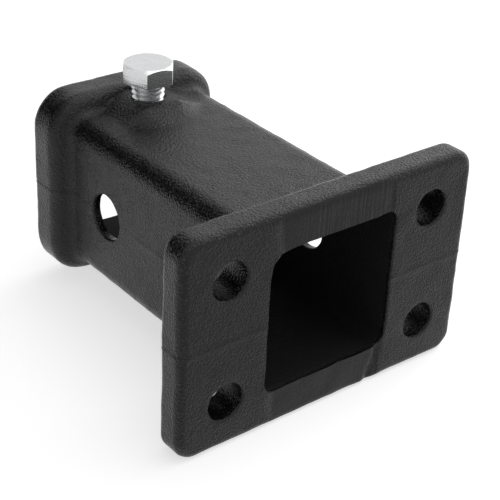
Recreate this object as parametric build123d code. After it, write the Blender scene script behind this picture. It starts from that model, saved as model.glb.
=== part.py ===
from build123d import *
import math
import os

# Bolt-on receiver tube: one casting with a bolting flange at the front (y = 0), a square socket
# that runs right through, and a thick collar round the far mouth. A set bolt in the top wall
# takes up the play of whatever is slid into the socket. Millimetres, +Y along the tube, +Z up.

# Socket and tube
SOCKET_SIDE = 52.5
SOCKET_CORNER_R = 4.5
TUBE_WALL = 3.5
TUBE_CORNER_R = 7.5
LENGTH = 130.0
MOUTH_EDGE_R = 1.2
OPENING_EDGE_R = 0.8

# Bolting flange
FLANGE_WIDTH = 122.0
FLANGE_HEIGHT = 80.0
FLANGE_THICKNESS = 11.5
FLANGE_CORNER_R = 7.5
FLANGE_EDGE_R = 3.2
FLANGE_ROOT_R = 3.0
BOLT_SPACING_X = 85.0
BOLT_SPACING_Z = 45.0
BOLT_HOLE_D = 13.2
GROUND_BAND_WIDTH = 47.0
GROUND_BAND_DEPTH = 0.35
GROUND_BAND_RUN_OUT = 1.2

# Collar round the far mouth
COLLAR_RISE = 6.5
COLLAR_LAND = 7.2
COLLAR_BACK_R = 4.3
COLLAR_NOSE_R = 6.0
COLLAR_COVE_R = 5.0

# Cross pin holes, measured back from the mouth
PIN_HOLE_D = 17.0
PIN_INSETS = (40.5, 85.5)

# Cast pad under the set bolt
SET_BOLT_INSET = 23.5
PAD_HEIGHT = 4.6
PAD_REACH = 8.0
PAD_CROWN_HALF = 5.5
PAD_FOOT_HALF = 19.5
PAD_NOSE_R = 2.5
PAD_COVE_R = 16.0
PAD_FLANK_SECTIONS = 6

# Set bolt, M12 with a chamfered hexagon head
BOLT_D = 12.0
BOLT_CLEARANCE = 0.05
HOLE_MOUTH_CHAMFER = 0.6
BOLT_LENGTH = 16.0
BOLT_TIP_CHAMFER = 1.2
HEAD_ACROSS_FLATS = 18.0
HEAD_HEIGHT = 6.7
HEAD_CHAMFER_ANGLE = 30.0
HEAD_FACE_SHARE = 0.95
HEAD_TURN = 54.0
HEAD_GAP = 6.4

# Sizes that follow from the ones above
TUBE_SIDE = SOCKET_SIDE + 2 * TUBE_WALL
TUBE_TOP = TUBE_SIDE / 2
TUBE_FLAT_HALF = TUBE_TOP - TUBE_CORNER_R
COLLAR_LAND_START = LENGTH - COLLAR_BACK_R - COLLAR_LAND
SET_BOLT_Y = LENGTH - SET_BOLT_INSET
PAD_CREST_Y = SET_BOLT_Y - PAD_REACH
PAD_SEAT_Z = TUBE_TOP + PAD_HEIGHT
PAD_SINK = 0.05
PAD_LEAST_RISE = 0.01
NEAR = 0.02
THROUGH = 1.0


def rounded_bar(side, corner_r, start, end):
    """A square bar with rounded corners, along Y from start to end."""
    section = Plane.XZ.offset(-end) * RectangleRounded(side, side, corner_r)
    return extrude(section, end - start)


def ogee(rise, nose_r, cove_r):
    """Run and turning angle of a hollow curve that passes smoothly into a round nose."""
    turn = math.acos(max(0.0, 1 - rise / (nose_r + cove_r)))
    return (nose_r + cove_r) * math.sin(turn), turn


def ogee_edges(crest_y, base_z, rise, nose_r, cove_r):
    """The ogee's edges in the YZ plane, from its foot up to the crest, and its foot point."""
    run, turn = ogee(rise, nose_r, cove_r)
    foot_y = crest_y - run

    def cove(angle):
        return (0, foot_y + cove_r * math.sin(angle), base_z + cove_r * (1 - math.cos(angle)))

    def nose(angle):
        z = base_z + rise - nose_r * (1 - math.cos(angle))
        return (0, crest_y - nose_r * math.sin(angle), z)

    edges = [ThreePointArc(cove(0), cove(turn / 2), cove(turn))]
    if rise > nose_r + cove_r:
        edges.append(Line(cove(turn), nose(turn)))
    edges.append(ThreePointArc(nose(turn), nose(turn / 2), nose(0)))
    return edges, cove(0)


def closed_face(edges, corners):
    """A face bounded by the edges and by straight lines through the corners."""
    lines = [Line(a, b) for a, b in zip(corners, corners[1:])]
    return make_face(edges + lines)


def make_collar():
    """The thick ring: its section, an ogee at the front and a round back, swept round the tube."""
    crest = TUBE_TOP + COLLAR_RISE
    round_start = LENGTH - COLLAR_BACK_R
    ogee_lines, foot = ogee_edges(
        COLLAR_LAND_START, TUBE_TOP, COLLAR_RISE, COLLAR_NOSE_R, COLLAR_COVE_R
    )
    land = Line((0, COLLAR_LAND_START, crest), (0, round_start, crest))
    round_end = (0, LENGTH, crest - COLLAR_BACK_R)
    back_round = TangentArc((0, round_start, crest), round_end, tangent=(0, 1, 0))
    inside = TUBE_TOP - TUBE_WALL / 2
    section = closed_face(
        ogee_lines + [land, back_round],
        [round_end, (0, LENGTH, inside), (0, foot[1], inside), foot],
    )
    half_outline = FilletPolyline(
        (0, LENGTH, TUBE_TOP),
        (TUBE_TOP, LENGTH, TUBE_TOP),
        (TUBE_TOP, LENGTH, -TUBE_TOP),
        (0, LENGTH, -TUBE_TOP),
        radius=TUBE_CORNER_R,
    )
    half_ring = sweep(section, path=half_outline)
    return half_ring + mirror(half_ring, Plane.YZ)


def pad_height(x, foot_half):
    """Height of the pad at x: level in the middle, then falling in a soft wave to its foot."""
    fall = (abs(x) - PAD_CROWN_HALF) / (foot_half - PAD_CROWN_HALF)
    fall = max(0.0, min(1.0, fall))
    return PAD_HEIGHT * (1 + math.cos(math.pi * fall)) / 2


def pad_section(x):
    """The pad cut along the tube at x: a long cove up to its crest, then back into the collar."""
    base = TUBE_TOP - PAD_SINK
    front_rise = max(PAD_LEAST_RISE, pad_height(x, PAD_FOOT_HALF) + PAD_SINK)
    back_rise = max(PAD_LEAST_RISE, pad_height(x, TUBE_FLAT_HALF) + PAD_SINK)
    edges, foot = ogee_edges(PAD_CREST_Y, base, front_rise, PAD_NOSE_R, PAD_COVE_R)
    inside = TUBE_TOP - TUBE_WALL / 2
    corners = [
        (0, PAD_CREST_Y, base + front_rise),
        (0, COLLAR_LAND_START, base + back_rise),
        (0, COLLAR_LAND_START, inside),
        (0, foot[1], inside),
        foot,
    ]
    return Pos(x, 0, 0) * closed_face(edges, corners)


def make_pad():
    """The cast pad under the set bolt: a level crown, and a flank lofted down to each side."""
    crown = extrude(pad_section(-PAD_CROWN_HALF), 2 * PAD_CROWN_HALF, dir=(1, 0, 0))
    step = (TUBE_FLAT_HALF - PAD_CROWN_HALF) / PAD_FLANK_SECTIONS
    stations = [PAD_CROWN_HALF + step * i for i in range(PAD_FLANK_SECTIONS + 1)]
    flank = loft([pad_section(x) for x in stations])
    return crown + flank + mirror(flank, Plane.YZ)


def make_flange():
    """The bolting plate, all its outer edges rounded as cast."""
    outline = Plane.XZ * RectangleRounded(FLANGE_WIDTH, FLANGE_HEIGHT, FLANGE_CORNER_R)
    plate = extrude(outline, -FLANGE_THICKNESS)
    return fillet(plate.faces().filter_by(Axis.Y).edges(), FLANGE_EDGE_R)


def make_ground_band():
    """What the grinder takes off the flange face: a shallow band with run-out edges."""
    half = GROUND_BAND_WIDTH / 2
    run_out = GROUND_BAND_RUN_OUT
    outline = make_face(
        Polyline(
            (-half - run_out, -THROUGH),
            (-half - run_out, 0),
            (-half, GROUND_BAND_DEPTH),
            (half, GROUND_BAND_DEPTH),
            (half + run_out, 0),
            (half + run_out, -THROUGH),
            close=True,
        )
    )
    return extrude(outline, FLANGE_HEIGHT / 2 + THROUGH, both=True)


def round_hole(diameter, axis_point, axis, reach):
    """A round cutter through axis_point, reaching the same way to both sides."""
    return Plane(axis_point, z_dir=axis) * Cylinder(diameter / 2, 2 * reach)


def make_casting():
    """Tube, flange, collar and pad as one casting, less everything that is cut from it."""
    body = rounded_bar(TUBE_SIDE, TUBE_CORNER_R, FLANGE_THICKNESS / 2, LENGTH)
    body += make_flange()
    roots = body.edges().filter_by(
        lambda e: abs(e.center().Y - FLANGE_THICKNESS) < NEAR
        and max(abs(e.center().X), abs(e.center().Z)) < TUBE_TOP + NEAR
    )
    body = fillet(roots, FLANGE_ROOT_R)
    body += make_collar()
    body += make_pad()

    body -= rounded_bar(SOCKET_SIDE, SOCKET_CORNER_R, -THROUGH, LENGTH + THROUGH)
    for y, radius in ((0, OPENING_EDGE_R), (LENGTH, MOUTH_EDGE_R)):
        rim = body.edges().filter_by(
            lambda e: abs(e.center().Y - y) < NEAR
            and max(abs(e.center().X), abs(e.center().Z)) < SOCKET_SIDE / 2 + NEAR
        )
        body = fillet(rim, radius)

    for x in (-BOLT_SPACING_X / 2, BOLT_SPACING_X / 2):
        for z in (-BOLT_SPACING_Z / 2, BOLT_SPACING_Z / 2):
            body -= round_hole(BOLT_HOLE_D, (x, 0, z), (0, 1, 0), FLANGE_THICKNESS + THROUGH)
    for inset in PIN_INSETS:
        pin_point = (0, LENGTH - inset, 0)
        body -= round_hole(PIN_HOLE_D, pin_point, (1, 0, 0), TUBE_TOP + THROUGH)
    body -= make_ground_band()

    tapped = BOLT_D + 2 * BOLT_CLEARANCE
    drill = Pos(0, SET_BOLT_Y, TUBE_TOP) * Cylinder(tapped / 2, 2 * (TUBE_WALL + PAD_HEIGHT))
    countersink = Pos(0, SET_BOLT_Y, PAD_SEAT_Z) * Cone(
        tapped / 2,
        tapped / 2 + 2 * HOLE_MOUTH_CHAMFER,
        2 * HOLE_MOUTH_CHAMFER,
    )
    return body - drill - countersink


def make_set_bolt():
    """The set bolt, its head standing HEAD_GAP above the pad."""
    seat_z = PAD_SEAT_Z + HEAD_GAP
    prism = extrude(RegularPolygon(HEAD_ACROSS_FLATS / 2, 6, major_radius=False), HEAD_HEIGHT)
    reach = HEAD_ACROSS_FLATS
    slope = math.tan(math.radians(HEAD_CHAMFER_ANGLE))
    top_r = HEAD_ACROSS_FLATS / 2 * HEAD_FACE_SHARE
    bevel = Pos(0, 0, HEAD_HEIGHT - reach / 2) * Cone(top_r + reach / slope, top_r, reach)
    head = prism & bevel
    shank = Pos(0, 0, -BOLT_LENGTH / 2) * Cylinder(BOLT_D / 2, BOLT_LENGTH)
    shank = chamfer(shank.edges().sort_by(Axis.Z)[0], BOLT_TIP_CHAMFER)
    return Pos(0, SET_BOLT_Y, seat_z) * Rot(0, 0, HEAD_TURN) * (head + shank)


os.makedirs("parts", exist_ok=True)
for node, solid in {"receiver_casting": make_casting(), "set_bolt": make_set_bolt()}.items():
    export_step(solid, f"parts/{node}.step")
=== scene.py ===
import math

import bpy
from mathutils import Matrix, Vector


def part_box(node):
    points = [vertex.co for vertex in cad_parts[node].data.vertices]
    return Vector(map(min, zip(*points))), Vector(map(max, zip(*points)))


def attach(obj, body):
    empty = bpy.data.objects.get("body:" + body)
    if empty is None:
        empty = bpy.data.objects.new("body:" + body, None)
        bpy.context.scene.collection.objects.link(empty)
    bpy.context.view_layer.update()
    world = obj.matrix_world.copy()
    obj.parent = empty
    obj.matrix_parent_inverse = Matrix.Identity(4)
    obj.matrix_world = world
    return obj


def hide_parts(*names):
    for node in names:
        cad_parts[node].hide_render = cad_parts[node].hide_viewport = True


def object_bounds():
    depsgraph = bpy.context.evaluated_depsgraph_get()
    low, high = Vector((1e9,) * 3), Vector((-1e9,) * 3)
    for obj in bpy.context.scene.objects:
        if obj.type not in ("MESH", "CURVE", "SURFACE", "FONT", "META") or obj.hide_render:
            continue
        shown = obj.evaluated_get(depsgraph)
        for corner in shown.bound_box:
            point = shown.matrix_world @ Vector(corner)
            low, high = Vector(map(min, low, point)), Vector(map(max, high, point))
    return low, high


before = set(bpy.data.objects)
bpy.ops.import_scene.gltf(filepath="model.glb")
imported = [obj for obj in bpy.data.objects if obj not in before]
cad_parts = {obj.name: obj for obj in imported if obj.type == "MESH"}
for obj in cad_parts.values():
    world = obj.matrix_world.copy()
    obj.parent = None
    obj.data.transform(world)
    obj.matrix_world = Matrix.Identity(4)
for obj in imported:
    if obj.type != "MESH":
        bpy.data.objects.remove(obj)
cad_low, cad_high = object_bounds()


# The receiver is one steel casting: tube, bolting flange, collar and bolt pad are poured together.
# The sand leaves every face and edge slightly uneven, and a thick black powder coat rounds the rims
# of the holes. It stands on the flange's lower edge.
MM = 0.001
RIM_ROUND, RIM_SEGMENTS, RIM_ANGLE = 0.9 * MM, 4, math.radians(62)
FLAT_ANGLE, SMOOTH_ANGLE = math.radians(0.4), math.radians(40)
MERGE, SLIVER = 0.001 * MM, 0.01 * MM
# The mesh is cut into a grid that can follow the uneven skin, shifted so that it misses the edges.
GRID, GRID_SHIFT = 2.6 * MM, 0.37 * MM
# Before its flat faces are merged, the mesh is cut across the middle of each hole on each axis, so
# that no face holds a hole.
FLANGE_HOLE_X, FLANGE_HOLE_Z = 42.5 * MM, 22.5 * MM
FRONT_PIN_Y, REAR_PIN_Y, SET_BOLT_Y = 44.5 * MM, 89.5 * MM, 106.5 * MM
HOLE_MIDDLES = (
    (-FLANGE_HOLE_X, 0.0, FLANGE_HOLE_X),
    (FRONT_PIN_Y, REAR_PIN_Y, SET_BOLT_Y),
    (-FLANGE_HOLE_Z, 0.0, FLANGE_HOLE_Z),
)
# The tapped hole stays true: the skin is uneven from half this distance, and fully from all of it.
THREAD_KEEP_CLEAR = 11 * MM
# The two halves of the mould meet at half height and leave a fine ridge there.
PARTING_HALF, PARTING_HEIGHT = 0.6 * MM, 0.15 * MM
# The flange's face is ground flat over a band a little narrower than the socket. The wheel has dug
# in at the band's right edge below the opening, along a slight curve from the top to the low point.
GROUND_HALF, GROUND_FACE = 23.5 * MM, 0.7 * MM
GROOVE_TOP_X, GROOVE_TOP_Z = 24.0 * MM, -27 * MM
GROOVE_LOW_X, GROOVE_LOW_Z = 19.5 * MM, -40 * MM
GROOVE_HALF, GROOVE_DEPTH, GROOVE_GRID = 2.4 * MM, 0.7 * MM, 0.6 * MM
GROOVE_FADE, GROOVE_START = 5 * MM, 3 * MM
# A face looks to the front when its normal's Y is below this.
FRONT_NORMAL = -0.9
# Inside the socket, from just behind its rim, the powder is thin and dull, and its colour is
# darkened as painted shade of the recess.
SOCKET_HALF = 52.5 * MM / 2
SOCKET_REACH, SOCKET_START = 0.6 * MM, 1.2 * MM
# Each corner of the opening is filled by a different amount: its side in X and Z, and the fill.
CORNER_FILLS = ((-1, 1, 1.3 * MM), (1, -1, 0.3 * MM), (-1, -1, -0.3 * MM), (1, 1, -0.6 * MM))
CORNER_REACH, CORNER_DEPTH = 9 * MM, 22 * MM
# The flange's bolt holes are cast, and narrow a little towards its back. This draft is full near a
# hole's middle, has gone at its reach, and goes on to just behind the flange.
FLANGE_HOLES = [(x, z) for x in (-FLANGE_HOLE_X, FLANGE_HOLE_X) for z in (-FLANGE_HOLE_Z, FLANGE_HOLE_Z)]
FLANGE_THICK, FLANGE_BEHIND = 11.5 * MM, 12.65 * MM
DRAFT, DRAFT_FULL, DRAFT_REACH = 0.55 * MM, 6 * MM, 9 * MM
# Each wave: name, direction, size of its lumps and how far it moves the skin.
WAVES = (
    ("cast_swell", "NORMAL", 13.0 * MM, 0.34 * MM),
    ("cast_ripple", "NORMAL", 4.5 * MM, 0.08 * MM),
    ("wavy_edges", "RGB_TO_XYZ", 6.0 * MM, 0.4 * MM),
)


def only(piece):
    """Makes piece the one selected and active object."""
    bpy.ops.object.select_all(action="DESELECT")
    piece.select_set(True)
    bpy.context.view_layer.objects.active = piece
    return piece


def add_modifier(piece, kind, **settings):
    """Adds a modifier with its settings and applies it."""
    modifier = only(piece).modifiers.new(kind.lower(), kind)
    for name, value in settings.items():
        setattr(modifier, name, value)
    bpy.ops.object.modifier_apply(modifier=modifier.name)


def cut_across(axis, place):
    """Cuts all of the mesh in edit mode by the plane across an axis at that place."""
    normal = Vector((0, 0, 0))
    normal[axis] = 1
    bpy.ops.mesh.select_all(action="SELECT")
    bpy.ops.mesh.bisect(plane_co=normal * place, plane_no=normal)


casting = bpy.data.objects.new("casting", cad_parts["receiver_casting"].data.copy())
bpy.context.scene.collection.objects.link(casting)
only(casting)
bpy.ops.object.mode_set(mode="EDIT")
bpy.ops.mesh.select_all(action="SELECT")
bpy.ops.mesh.customdata_custom_splitnormals_clear()
bpy.ops.mesh.remove_doubles(threshold=MERGE)
for axis, middles in enumerate(HOLE_MIDDLES):
    for middle in middles:
        cut_across(axis, middle)
        bpy.ops.mesh.mark_seam()
bpy.ops.mesh.select_all(action="SELECT")
bpy.ops.mesh.dissolve_limited(angle_limit=FLAT_ANGLE, delimit={"SEAM"})
bpy.ops.object.mode_set(mode="OBJECT")
add_modifier(
    casting,
    "BEVEL",
    width=RIM_ROUND,
    segments=RIM_SEGMENTS,
    limit_method="ANGLE",
    angle_limit=RIM_ANGLE,
    use_clamp_overlap=False,
)

# The flange's face gets close cuts where the groove will run, and then all of the mesh gets the grid.
cut_x = GROOVE_LOW_X - GROOVE_HALF
while cut_x < GROOVE_TOP_X + GROOVE_HALF:
    for face in casting.data.polygons:
        face.select = face.center.y < GROUND_FACE and face.normal.y < FRONT_NORMAL
    bpy.ops.object.mode_set(mode="EDIT")
    bpy.ops.mesh.bisect(plane_co=(cut_x, 0, 0), plane_no=(1, 0, 0))
    bpy.ops.object.mode_set(mode="OBJECT")
    cut_x += GROOVE_GRID
bpy.ops.object.mode_set(mode="EDIT")
for axis in range(3):
    place = cad_low[axis] + GRID_SHIFT
    while place < cad_high[axis]:
        cut_across(axis, place)
        place += GRID
for height in (-PARTING_HALF, 0.0, PARTING_HALF):
    cut_across(2, height)
bpy.ops.mesh.select_all(action="SELECT")
bpy.ops.mesh.remove_doubles(threshold=SLIVER)
bpy.ops.mesh.quads_convert_to_tris(quad_method="BEAUTY", ngon_method="BEAUTY")
bpy.ops.object.mode_set(mode="OBJECT")

bolt_low, bolt_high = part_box("set_bolt")
bolt_x, bolt_y = (bolt_low.x + bolt_high.x) / 2, (bolt_low.y + bolt_high.y) / 2
uneven = casting.vertex_groups.new(name="uneven")
for vertex in casting.data.vertices:
    aside = math.hypot(vertex.co.x - bolt_x, vertex.co.y - bolt_y) / THREAD_KEEP_CLEAR
    near_thread = vertex.co.z > 0 and aside < 1
    uneven.add([vertex.index], max(0, 2 * aside - 1) if near_thread else 1.0, "REPLACE")

# This mask marks the socket, where the coat is dull and its colour is darkened as painted shade.
dull_shaded_socket = casting.data.attributes.new("dull_shaded_socket", "FLOAT", "POINT")
for vertex, socket_dull_shade in zip(casting.data.vertices, dull_shaded_socket.data):
    x, y, z = vertex.co
    in_socket = max(abs(x), abs(z)) < SOCKET_HALF + SOCKET_REACH and y > SOCKET_START
    socket_dull_shade.value = 1.0 if in_socket else 0.0
    # The parting ridge runs all round the outside, but not over the ground band.
    ground_here = y < GROUND_FACE and abs(x) < GROUND_HALF
    if abs(z) < MERGE and not in_socket and not ground_here:
        vertex.co += PARTING_HEIGHT * vertex.normal
    # The groove is deepest along its middle, and fades in at its top and towards the flange's back.
    if y < GROOVE_FADE and z < GROOVE_TOP_Z + GROOVE_START:
        down = min(max((z - GROOVE_TOP_Z) / (GROOVE_LOW_Z - GROOVE_TOP_Z), 0), 1)
        bend = down * down * (3 - 2 * down)
        off_groove = abs(x - GROOVE_TOP_X - bend * (GROOVE_LOW_X - GROOVE_TOP_X)) / GROOVE_HALF
        if off_groove < 1:
            start = min((GROOVE_TOP_Z + GROOVE_START - z) / GROOVE_START, 1)
            depth = GROOVE_DEPTH * (1 + math.cos(math.pi * off_groove)) / 2
            vertex.co.y += depth * start * (1 - y / GROOVE_FADE)
    # The fills of the opening's corners fade into the socket.
    for side_x, side_z, fill in CORNER_FILLS:
        aside = math.hypot(x - side_x * SOCKET_HALF, z - side_z * SOCKET_HALF) / CORNER_REACH
        deep = y / CORNER_DEPTH
        if aside < 1 and deep < 1:
            share = (1 - aside) * (1 - deep)
            vertex.co.x -= side_x * fill * share
            vertex.co.z -= side_z * fill * share
    # The bolt holes' draft.
    for hole_x, hole_z in FLANGE_HOLES:
        off_x, off_z = x - hole_x, z - hole_z
        off_hole = math.hypot(off_x, off_z)
        if 0 < y < FLANGE_BEHIND and off_hole < DRAFT_REACH:
            fade = min((DRAFT_REACH - off_hole) / (DRAFT_REACH - DRAFT_FULL), 1)
            narrow = DRAFT * min(y / FLANGE_THICK, 1) * fade
            vertex.co.x -= narrow * off_x / off_hole
            vertex.co.z -= narrow * off_z / off_hole

for name, direction, size, height in WAVES:
    wave = bpy.data.textures.new(name, "CLOUDS")
    wave.cloud_type = "COLOR"
    wave.noise_scale = size
    wave.noise_depth = 1
    add_modifier(
        casting,
        "DISPLACE",
        texture=wave,
        texture_coords="LOCAL",
        direction=direction,
        strength=height,
        vertex_group="uneven",
    )
bpy.ops.object.shade_smooth_by_angle(angle=SMOOTH_ANGLE)


def linear(hex_colour):
    """An sRGB hex colour as linear red, green, blue and alpha."""
    parts = [int(hex_colour[i : i + 2], 16) / 255 for i in (1, 3, 5)]
    return [p / 12.92 if p <= 0.04045 else ((p + 0.055) / 1.055) ** 2.4 for p in parts] + [1.0]


def add_node(tree, kind, sockets=None, **settings):
    """Adds a node. A socket goes by name or number and takes a value or another node's output."""
    node = tree.nodes.new(kind)
    for name, value in settings.items():
        setattr(node, name, value)
    for name, value in (sockets or {}).items():
        socket = node.inputs[name]
        if isinstance(value, bpy.types.NodeSocket):
            tree.links.new(value, socket)
        else:
            socket.default_value = value
    return node


def new_material(name):
    """An empty node material, with its tree."""
    material = bpy.data.materials.new(name)
    material.use_nodes = True
    material.node_tree.nodes.clear()
    return material, material.node_tree


# Polyester powder coat over a sand-cast skin: almost black and glossy, with a pebbled grain of just
# under a millimetre from the sand, a finer orange peel from the powder, and a few pinholes. The eye
# gets soft sparkles on dark edges.
GRAIN, GRAIN_HEIGHT = 0.65 * MM, 0.27 * MM
PEBBLE, PEBBLE_HEIGHT, PEBBLE_EDGE = 0.85 * MM, 0.13 * MM, 0.8
PEEL, PEEL_HEIGHT = 0.4 * MM, 0.06 * MM
PINHOLE_SPACING, PINHOLE_SHARE, PINHOLE_DEPTH = 2.6 * MM, 0.13, 0.12 * MM
COAT_IOR, COAT_ROUGHNESS, PATCH_ROUGHNESS, THIN_ROUGHNESS = 1.355, 0.23, 0.31, 0.85
PATCH = 16 * MM
COAT_DARK, COAT_LIGHT, SOCKET_SHADE_COLOUR = "#060606", "#0B0B0C", "#040404"
# The tops of the grain are greyer, as a painted sheen where they would catch the light. They set
# in between these two values of its noise.
GRAIN_SHEEN_COLOUR, SHEEN_START, SHEEN_END = "#343435", 0.55, 0.7
# On the band, grinding takes most of the grain away and leaves upright marks. They are light at the
# band's left edge and below half height, and grow heavy to the right of it and above the opening.
GROUND_FADE, GROUND_GRAIN = 1.5 * MM, 0.25
MARK, MARK_LENGTH, MARK_HEIGHT, MARK_LIGHT = 1.1 * MM, 45 * MM, 0.22 * MM, 0.3
HEAVY_START, HEAVY_END, HEAVY_RISE = -15 * MM, -11 * MM, 20 * MM

powder_coat, tree = new_material("powder_coated_cast_steel")
position = add_node(tree, "ShaderNodeTexCoord").outputs["Object"]
axes = add_node(tree, "ShaderNodeSeparateXYZ", {"Vector": position})
from_middle = add_node(tree, "ShaderNodeMath", {0: axes.outputs["X"]}, operation="ABSOLUTE")
band_width = add_node(
    tree,
    "ShaderNodeMapRange",
    {
        "Value": from_middle.outputs[0],
        "From Min": GROUND_HALF - GROUND_FADE,
        "From Max": GROUND_HALF,
        "To Min": 1.0,
        "To Max": 0.0,
    },
    interpolation_type="SMOOTHSTEP",
)
band_depth = add_node(
    tree,
    "ShaderNodeMapRange",
    {
        "Value": axes.outputs["Y"],
        "From Min": GROUND_FACE,
        "From Max": 2 * GROUND_FACE,
        "To Min": 1.0,
        "To Max": 0.0,
    },
    interpolation_type="SMOOTHSTEP",
)
ground = add_node(
    tree,
    "ShaderNodeMath",
    {0: band_width.outputs["Result"], 1: band_depth.outputs["Result"]},
    operation="MULTIPLY",
)
grain_left = add_node(
    tree, "ShaderNodeMapRange", {"Value": ground.outputs[0], "To Min": 1.0, "To Max": GROUND_GRAIN}
)
marks_map = add_node(
    tree, "ShaderNodeMapping", {"Vector": position, "Scale": (1 / MARK, 0, 1 / MARK_LENGTH)}
)
marks = add_node(
    tree, "ShaderNodeTexNoise", {"Vector": marks_map.outputs["Vector"], "Scale": 1.0, "Detail": 3.0}
)
heavy_right = add_node(
    tree,
    "ShaderNodeMapRange",
    {
        "Value": axes.outputs["X"],
        "From Min": HEAVY_START,
        "From Max": HEAVY_END,
        "To Min": MARK_LIGHT,
        "To Max": 1.0,
    },
    interpolation_type="SMOOTHSTEP",
)
heavy_above = add_node(
    tree,
    "ShaderNodeMapRange",
    {
        "Value": axes.outputs["Z"],
        "From Min": 0.0,
        "From Max": HEAVY_RISE,
        "To Min": MARK_LIGHT,
        "To Max": 1.0,
    },
    interpolation_type="SMOOTHSTEP",
)
heavy = add_node(
    tree,
    "ShaderNodeMath",
    {0: heavy_right.outputs["Result"], 1: heavy_above.outputs["Result"]},
    operation="MULTIPLY",
)
marks_strength = add_node(
    tree, "ShaderNodeMath", {0: ground.outputs[0], 1: heavy.outputs[0]}, operation="MULTIPLY"
)
marks_bump = add_node(
    tree,
    "ShaderNodeBump",
    {
        "Height": marks.outputs["Fac"],
        "Distance": MARK_HEIGHT,
        "Strength": marks_strength.outputs[0],
    },
)
grain = add_node(
    tree,
    "ShaderNodeTexNoise",
    {"Vector": position, "Scale": 1 / GRAIN, "Detail": 2.0, "Roughness": 0.55},
)
grain_bump = add_node(
    tree,
    "ShaderNodeBump",
    {
        "Height": grain.outputs["Fac"],
        "Distance": GRAIN_HEIGHT,
        "Strength": grain_left.outputs["Result"],
        "Normal": marks_bump.outputs["Normal"],
    },
)
pebbles = add_node(
    tree, "ShaderNodeTexVoronoi", {"Vector": position, "Scale": 1 / PEBBLE}, feature="F1"
)
pebble_height = add_node(
    tree,
    "ShaderNodeMapRange",
    {
        "Value": pebbles.outputs["Distance"],
        "From Min": 0.0,
        "From Max": PEBBLE_EDGE,
        "To Min": 1.0,
        "To Max": 0.0,
    },
    interpolation_type="SMOOTHSTEP",
)
pebble_bump = add_node(
    tree,
    "ShaderNodeBump",
    {
        "Height": pebble_height.outputs["Result"],
        "Distance": PEBBLE_HEIGHT,
        "Strength": grain_left.outputs["Result"],
        "Normal": grain_bump.outputs["Normal"],
    },
)
pinholes = add_node(
    tree, "ShaderNodeTexVoronoi", {"Vector": position, "Scale": 1 / PINHOLE_SPACING}, feature="F1"
)
pinhole_height = add_node(
    tree,
    "ShaderNodeMapRange",
    {"Value": pinholes.outputs["Distance"], "From Min": 0.0, "From Max": PINHOLE_SHARE},
    interpolation_type="SMOOTHSTEP",
)
pinhole_bump = add_node(
    tree,
    "ShaderNodeBump",
    {
        "Height": pinhole_height.outputs["Result"],
        "Distance": PINHOLE_DEPTH,
        "Strength": 1.0,
        "Normal": pebble_bump.outputs["Normal"],
    },
)
peel = add_node(tree, "ShaderNodeTexNoise", {"Vector": position, "Scale": 1 / PEEL, "Detail": 0.0})
peel_bump = add_node(
    tree,
    "ShaderNodeBump",
    {
        "Height": peel.outputs["Fac"],
        "Distance": PEEL_HEIGHT,
        "Strength": 1.0,
        "Normal": pinhole_bump.outputs["Normal"],
    },
)
# Inside the socket the powder is thin and dull, because the spray hardly reaches there, and its
# colour is darker as painted shade of the recess. A mix of colours takes them at sockets 6 and 7,
# and a mix of numbers at 2 and 3.
socket_dull_shade = add_node(tree, "ShaderNodeAttribute", attribute_name="dull_shaded_socket").outputs["Fac"]
patches = add_node(
    tree, "ShaderNodeTexNoise", {"Vector": position, "Scale": 1 / PATCH, "Detail": 3.0}
)
colour = add_node(
    tree,
    "ShaderNodeMix",
    {"Factor": patches.outputs["Fac"], 6: linear(COAT_DARK), 7: linear(COAT_LIGHT)},
    data_type="RGBA",
)
# The grain's tops are painted a lighter grey: a painted sheen, not the coat's own colour.
sheen_range = add_node(
    tree,
    "ShaderNodeMapRange",
    {"Value": grain.outputs["Fac"], "From Min": SHEEN_START, "From Max": SHEEN_END},
    interpolation_type="SMOOTHSTEP",
)
painted_sheen = add_node(
    tree,
    "ShaderNodeMath",
    {0: sheen_range.outputs["Result"], 1: grain_left.outputs["Result"]},
    operation="MULTIPLY",
)
coat_with_sheen = add_node(
    tree,
    "ShaderNodeMix",
    {"Factor": painted_sheen.outputs[0], 6: colour.outputs[2], 7: linear(GRAIN_SHEEN_COLOUR)},
    data_type="RGBA",
)
# In the socket the colour turns darker: painted shade of the recess.
coat_colour = add_node(
    tree,
    "ShaderNodeMix",
    {"Factor": socket_dull_shade, 6: coat_with_sheen.outputs[2], 7: linear(SOCKET_SHADE_COLOUR)},
    data_type="RGBA",
)
open_roughness = add_node(
    tree,
    "ShaderNodeMapRange",
    {"Value": patches.outputs["Fac"], "To Min": COAT_ROUGHNESS, "To Max": PATCH_ROUGHNESS},
)
roughness = add_node(
    tree,
    "ShaderNodeMix",
    {"Factor": socket_dull_shade, 2: open_roughness.outputs["Result"], 3: THIN_ROUGHNESS},
)
surface = add_node(
    tree,
    "ShaderNodeBsdfPrincipled",
    {
        "Base Color": coat_colour.outputs[2],
        "Roughness": roughness.outputs[0],
        "IOR": COAT_IOR,
        "Normal": peel_bump.outputs["Normal"],
    },
)
add_node(tree, "ShaderNodeOutputMaterial", {"Surface": surface.outputs["BSDF"]})

casting.data.materials.clear()
casting.data.materials.append(powder_coat)
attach(casting, "receiver")
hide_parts("receiver_casting")


# The set bolt is an M12 hexagon bolt, cold forged, its thread rolled up to the head, and bright zinc
# plated. It stands half screwed out in the top wall, one corner of its head towards the front left.
ACROSS_FLATS, HEAD_HEIGHT = 18 * MM, 6.7 * MM
HEAD_TURN = math.radians(54)
CORNER_ROUND, CORNER_SEGMENTS, CORNER_ANGLE = 0.25 * MM, 3, math.radians(50)
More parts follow.
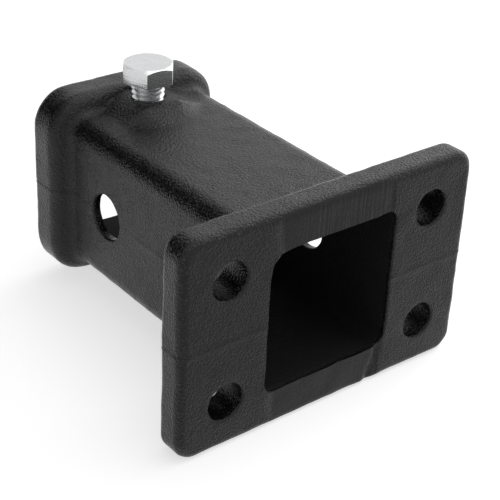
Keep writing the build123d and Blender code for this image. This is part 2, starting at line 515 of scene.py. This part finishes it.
# The head's corners are taken off at 30 degrees, up to a round face a little inside the flats.
CHAMFER_SLOPE, CHAMFER_SIDES = math.tan(math.radians(30)), 128
FACE_SHARE = 0.95
THREAD_D, PITCH = 12 * MM, 1.75 * MM
CREST_FLAT, ROOT_FLAT, THREAD_DEPTH = PITCH / 8, PITCH / 4, 0.6134 * PITCH
CREST_EASE = 0.35
TIP_CHAMFER, TIP_SIDES = 1.2 * MM, 96
# The thread is wound some turns too long, from below the tip up into the head, and then trimmed.
THREAD_STEPS, SPARE_TURNS, TURNS_BELOW = 72, 3, 1.5
THREAD_BITE = 0.3 * MM
BOLT_SMOOTH_ANGLE = math.radians(25)


def cut_with(piece, cutter, operation):
    """Cuts piece with cutter, which is used up."""
    add_modifier(piece, "BOOLEAN", object=cutter, operation=operation, solver="EXACT")
    bpy.data.objects.remove(cutter)


seat = bolt_high.z - HEAD_HEIGHT
bpy.ops.mesh.primitive_cylinder_add(
    vertices=6,
    radius=ACROSS_FLATS / 2 / math.cos(math.pi / 6),
    depth=HEAD_HEIGHT,
    location=(bolt_x, bolt_y, seat + HEAD_HEIGHT / 2),
    rotation=(0, 0, HEAD_TURN - math.pi / 2),
)
bolt = bpy.context.active_object
bolt.name = "hex_bolt"
add_modifier(
    bolt,
    "BEVEL",
    width=CORNER_ROUND,
    segments=CORNER_SEGMENTS,
    limit_method="ANGLE",
    angle_limit=CORNER_ANGLE,
)
face_radius = ACROSS_FLATS / 2 * FACE_SHARE
bpy.ops.mesh.primitive_cone_add(
    vertices=CHAMFER_SIDES,
    radius1=face_radius + ACROSS_FLATS / CHAMFER_SLOPE,
    radius2=face_radius,
    depth=ACROSS_FLATS,
    location=(bolt_x, bolt_y, bolt_high.z - ACROSS_FLATS / 2),
)
cut_with(bolt, bpy.context.active_object, "INTERSECT")

# One turn's profile, as radius and height, is drawn out of a single point and wound up.
crest = THREAD_D / 2
root = crest - THREAD_DEPTH
flank = (PITCH - CREST_FLAT - ROOT_FLAT) / 2
turns = math.ceil((seat - bolt_low.z) / PITCH) + SPARE_TURNS
ease = CREST_EASE * CREST_FLAT
profile = [
    (root, 0),
    (root, ROOT_FLAT / 2),
    (root + ease, ROOT_FLAT / 2 + ease),
    (crest - ease, ROOT_FLAT / 2 + flank - ease / 2),
    (crest, ROOT_FLAT / 2 + flank + ease / 2),
    (crest, ROOT_FLAT / 2 + flank + CREST_FLAT - ease / 2),
    (crest - ease, ROOT_FLAT / 2 + flank + CREST_FLAT + ease / 2),
    (root + ease, PITCH - ROOT_FLAT / 2 - ease),
    (root, PITCH - ROOT_FLAT / 2),
    (root, PITCH),
]
bpy.ops.mesh.primitive_plane_add(size=PITCH, location=(root, 0, 0))
thread = bpy.context.active_object
thread.name = "thread"
bpy.ops.object.transform_apply(location=True, rotation=False, scale=False)
bpy.ops.object.mode_set(mode="EDIT")
bpy.ops.mesh.merge(type="CENTER")
for (r, z), (next_r, next_z) in zip(profile, profile[1:]):
    bpy.ops.mesh.extrude_vertices_move(TRANSFORM_OT_translate={"value": (next_r - r, 0, next_z - z)})
bpy.ops.object.mode_set(mode="OBJECT")
add_modifier(
    thread,
    "SCREW",
    angle=math.tau,
    steps=THREAD_STEPS,
    render_steps=THREAD_STEPS,
    screw_offset=PITCH,
    iterations=turns,
    use_merge_vertices=True,
    merge_threshold=MERGE,
    use_smooth_shade=True,
)
thread.location = (bolt_x, bolt_y, bolt_low.z - TURNS_BELOW * PITCH)
bpy.ops.object.transform_apply(location=True, rotation=True, scale=True)

# The thread's turns are joined and its ends closed. A cone trims it and gives the tip its chamfer.
bpy.ops.object.mode_set(mode="EDIT")
bpy.ops.mesh.select_all(action="SELECT")
bpy.ops.mesh.remove_doubles(threshold=SLIVER)
bpy.ops.mesh.select_all(action="DESELECT")
bpy.ops.mesh.select_mode(type="EDGE")
bpy.ops.mesh.select_non_manifold()
bpy.ops.mesh.fill_holes(sides=0)
bpy.ops.mesh.select_all(action="SELECT")
bpy.ops.mesh.quads_convert_to_tris()
bpy.ops.mesh.normals_make_consistent(inside=False)
bpy.ops.object.mode_set(mode="OBJECT")
shank = seat + THREAD_BITE - bolt_low.z
bpy.ops.mesh.primitive_cone_add(
    vertices=TIP_SIDES,
    radius1=crest - TIP_CHAMFER,
    radius2=crest - TIP_CHAMFER + shank,
    depth=shank,
    location=(bolt_x, bolt_y, bolt_low.z + shank / 2),
)
cut_with(thread, bpy.context.active_object, "INTERSECT")
bpy.ops.object.mode_set(mode="EDIT")
bpy.ops.mesh.select_all(action="SELECT")
bpy.ops.mesh.dissolve_degenerate(threshold=2 * SLIVER)
bpy.ops.mesh.quads_convert_to_tris()
bpy.ops.object.mode_set(mode="OBJECT")
cut_with(bolt, thread, "UNION")
only(bolt)
bpy.ops.object.transform_apply(location=True, rotation=True, scale=True)
bpy.ops.object.shade_smooth_by_angle(angle=BOLT_SMOOTH_ANGLE)

# Zinc plating over forged steel: bright and a little cloudy, with fine drawn marks on the head. It
# mirrors the white room softly, and its haze scatters the rest, so that dark reflections stay grey.
ZINC_DARK, ZINC_LIGHT, METAL_SHARE = "#CDCECF", "#DEDFE0", 0.8
ZINC_BRIGHT, ZINC_DULL = 0.17, 0.27
CLOUD, PIT, PIT_DEPTH = 2.2 * MM, 0.5 * MM, 0.01 * MM
DRAWN, DRAWN_LENGTH, DRAWN_DEPTH = 0.7 * MM, 6 * MM, 0.07 * MM

zinc, tree = new_material("zinc_plated_steel")
position = add_node(tree, "ShaderNodeTexCoord").outputs["Object"]
cloud = add_node(
    tree,
    "ShaderNodeTexNoise",
    {"Vector": position, "Scale": 1 / CLOUD, "Detail": 4.0, "Roughness": 0.6},
)
pits = add_node(tree, "ShaderNodeTexNoise", {"Vector": position, "Scale": 1 / PIT, "Detail": 2.0})
drawn_map = add_node(
    tree,
    "ShaderNodeMapping",
    {"Vector": position, "Scale": (1 / DRAWN_LENGTH, 1 / DRAWN_LENGTH, 1 / DRAWN)},
)
drawn = add_node(
    tree, "ShaderNodeTexNoise", {"Vector": drawn_map.outputs["Vector"], "Scale": 1.0, "Detail": 2.0}
)
bolt_axes = add_node(tree, "ShaderNodeSeparateXYZ", {"Vector": position})
on_head = add_node(
    tree,
    "ShaderNodeMapRange",
    {"Value": bolt_axes.outputs["Z"], "From Min": seat, "From Max": seat + THREAD_BITE},
)
drawn_bump = add_node(
    tree,
    "ShaderNodeBump",
    {
        "Height": drawn.outputs["Fac"],
        "Distance": DRAWN_DEPTH,
        "Strength": on_head.outputs["Result"],
    },
)
roughness = add_node(
    tree,
    "ShaderNodeMapRange",
    {"Value": cloud.outputs["Fac"], "To Min": ZINC_BRIGHT, "To Max": ZINC_DULL},
)
pits_bump = add_node(
    tree,
    "ShaderNodeBump",
    {
        "Height": pits.outputs["Fac"],
        "Distance": PIT_DEPTH,
        "Strength": 1.0,
        "Normal": drawn_bump.outputs["Normal"],
    },
)
colour = add_node(
    tree,
    "ShaderNodeMix",
    {"Factor": cloud.outputs["Fac"], 6: linear(ZINC_DARK), 7: linear(ZINC_LIGHT)},
    data_type="RGBA",
)
surface = add_node(
    tree,
    "ShaderNodeBsdfPrincipled",
    {
        "Base Color": colour.outputs[2],
        "Metallic": METAL_SHARE,
        "Roughness": roughness.outputs["Result"],
        "Normal": pits_bump.outputs["Normal"],
    },
)
add_node(tree, "ShaderNodeOutputMaterial", {"Surface": surface.outputs["BSDF"]})
bolt.data.materials.clear()
bolt.data.materials.append(zinc)
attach(bolt, "bolt")
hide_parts("set_bolt")


# The floor is white paper in a white room, lit from behind. It looks white to the camera, and what
# the object mirrors of it fades towards the camera. It keeps the object's shadow.
FLOOR_HALF = 6.0
FLOOR_COLOUR, FLOOR_ROUGHNESS, FLOOR_GLOW = "#E6E6E6", 0.9, 0.62
FADE_FRONT, FADE_BACK, FADE_LEFT = -30 * MM, 10 * MM, 0.4
WHITE = "#FFFFFF"

bpy.ops.mesh.primitive_plane_add(size=2 * FLOOR_HALF, location=(0, 0, cad_low.z))
floor = bpy.context.active_object
floor.name = "floor"
white_floor, tree = new_material("white_paper")
position = add_node(tree, "ShaderNodeTexCoord").outputs["Object"]
axes = add_node(tree, "ShaderNodeSeparateXYZ", {"Vector": position})
towards_back = add_node(
    tree,
    "ShaderNodeMapRange",
    {
        "Value": axes.outputs["Y"],
        "From Min": FADE_FRONT,
        "From Max": FADE_BACK,
        "To Min": FADE_LEFT,
        "To Max": 1.0,
    },
    interpolation_type="SMOOTHSTEP",
)
path = add_node(tree, "ShaderNodeLightPath")
mirrored = add_node(
    tree,
    "ShaderNodeMath",
    {0: path.outputs["Is Glossy Ray"], 1: towards_back.outputs["Result"]},
    operation="MULTIPLY",
)
seen = add_node(
    tree,
    "ShaderNodeMath",
    {0: path.outputs["Is Camera Ray"], 1: mirrored.outputs[0]},
    operation="MAXIMUM",
)
seen = add_node(
    tree,
    "ShaderNodeMath",
    {0: seen.outputs[0], 1: path.outputs["Is Transmission Ray"]},
    operation="MAXIMUM",
)
glow = add_node(
    tree, "ShaderNodeMath", {0: seen.outputs[0], 1: FLOOR_GLOW}, operation="MULTIPLY"
)
surface = add_node(
    tree,
    "ShaderNodeBsdfPrincipled",
    {
        "Base Color": linear(FLOOR_COLOUR),
        "Roughness": FLOOR_ROUGHNESS,
        "Emission Color": linear(WHITE),
        "Emission Strength": glow.outputs[0],
    },
)
add_node(tree, "ShaderNodeOutputMaterial", {"Surface": surface.outputs["BSDF"]})
floor.data.materials.append(white_floor)


# The room round the floor is plain white, as a photographer's light tent is. It is white where it is
# seen or mirrored, and lights the object at half that level.
ROOM_LIGHT, ROOM_WHITE = 0.5, 1.0

world = bpy.data.worlds.new("white_room")
bpy.context.scene.world = world
world.use_nodes = True
tree = world.node_tree
tree.nodes.clear()
path = add_node(tree, "ShaderNodeLightPath")
seen = add_node(
    tree,
    "ShaderNodeMath",
    {0: path.outputs["Is Camera Ray"], 1: path.outputs["Is Glossy Ray"]},
    operation="MAXIMUM",
)
seen = add_node(
    tree,
    "ShaderNodeMath",
    {0: seen.outputs[0], 1: path.outputs["Is Transmission Ray"]},
    operation="MAXIMUM",
)
level = add_node(
    tree,
    "ShaderNodeMapRange",
    {"Value": seen.outputs[0], "To Min": ROOM_LIGHT, "To Max": ROOM_WHITE},
)
background = add_node(
    tree, "ShaderNodeBackground", {"Color": linear(WHITE), "Strength": level.outputs["Result"]}
)
add_node(tree, "ShaderNodeOutputWorld", {"Surface": background.outputs["Background"]})


# A dark card that only the object sees hangs behind it to the left, as a photographer hangs one to
# keep black edges dark. Its place is an azimuth from +Y towards +X and an elevation, in degrees, and
# a distance in metres, and so are the lamps'.
CARD_SIZE, CARD_PLACE, CARD_COLOUR = (1.8, 1.2), (-34, 26, 1.1), "#2A2A2A"


def around(azimuth, elevation, distance):
    """The point that far from the object, in that direction."""
    turn, rise = math.radians(azimuth), math.radians(elevation)
    along = distance * math.cos(rise)
    return Vector((along * math.sin(turn), along * math.cos(turn), distance * math.sin(rise)))


def face_object(item):
    """Turns item's -Z axis to the middle of the object."""
    middle = (cad_low + cad_high) / 2
    item.rotation_euler = (middle - item.location).to_track_quat("-Z", "Y").to_euler()


dark_card, tree = new_material("dark_card")
surface = add_node(tree, "ShaderNodeBsdfDiffuse", {"Color": linear(CARD_COLOUR)})
add_node(tree, "ShaderNodeOutputMaterial", {"Surface": surface.outputs["BSDF"]})
bpy.ops.mesh.primitive_plane_add(size=1, location=around(*CARD_PLACE))
card = bpy.context.active_object
card.name = "card_back_left"
card.scale = (*CARD_SIZE, 1)
face_object(card)
card.visible_camera = False
card.data.materials.append(dark_card)


# Three soft boxes light the object from the right, from above and, for the bolt alone, from before
# the dark card, so that its thread stays bright. Each: name, watts, width and height in metres, place.
LAMPS = (
    ("soft_box_right", 3.4, (0.9, 0.9), (72, 26, 1.2)),
    ("soft_box_over", 2.8, (0.8, 0.8), (100, 72, 1.2)),
    ("soft_box_bolt", 5.0, (1.8, 1.1), (-35, 26, 1.0)),
)
for name, watts, size, lamp_place in LAMPS:
    light = bpy.data.lights.new(name, "AREA")
    light.energy = watts
    light.shape = "RECTANGLE"
    light.size, light.size_y = size
    lamp = bpy.data.objects.new(name, light)
    bpy.context.scene.collection.objects.link(lamp)
    lamp.location = around(*lamp_place)
    face_object(lamp)
lit_alone = bpy.data.collections.new("lit_by_the_bolt_box")
lit_alone.objects.link(bolt)
bpy.data.objects["soft_box_bolt"].light_linking.receiver_collection = lit_alone


# The camera stands in front of the flange, to its left and above, as a picture of the object on a
# bench is taken.
CAMERA_PLACE = Vector((-261.45, -274.48, 236.22)) * MM
CAMERA_AZIMUTH, CAMERA_ELEVATION = math.radians(40.22), math.radians(29.56)
CAMERA_ROLL = math.radians(3.18)
LENS, SENSOR_WIDTH = 98.0, 36
SHIFT_X, SHIFT_Y = -0.0330, -0.0168
CLIP_NEAR, CLIP_FAR = 10 * MM, 30

view = bpy.data.cameras.new("view")
view.lens = LENS
view.sensor_width = SENSOR_WIDTH
view.shift_x = SHIFT_X
view.shift_y = SHIFT_Y
view.clip_start = CLIP_NEAR
view.clip_end = CLIP_FAR
camera = bpy.data.objects.new("view", view)
bpy.context.scene.collection.objects.link(camera)
turned = (
    Matrix.Rotation(-CAMERA_AZIMUTH, 4, "Z")
    @ Matrix.Rotation(math.pi / 2 - CAMERA_ELEVATION, 4, "X")
    @ Matrix.Rotation(CAMERA_ROLL, 4, "Z")
)
camera.matrix_world = Matrix.Translation(CAMERA_PLACE) @ turned
bpy.context.scene.camera = camera
bpy.context.scene.view_settings.view_transform = "Standard"
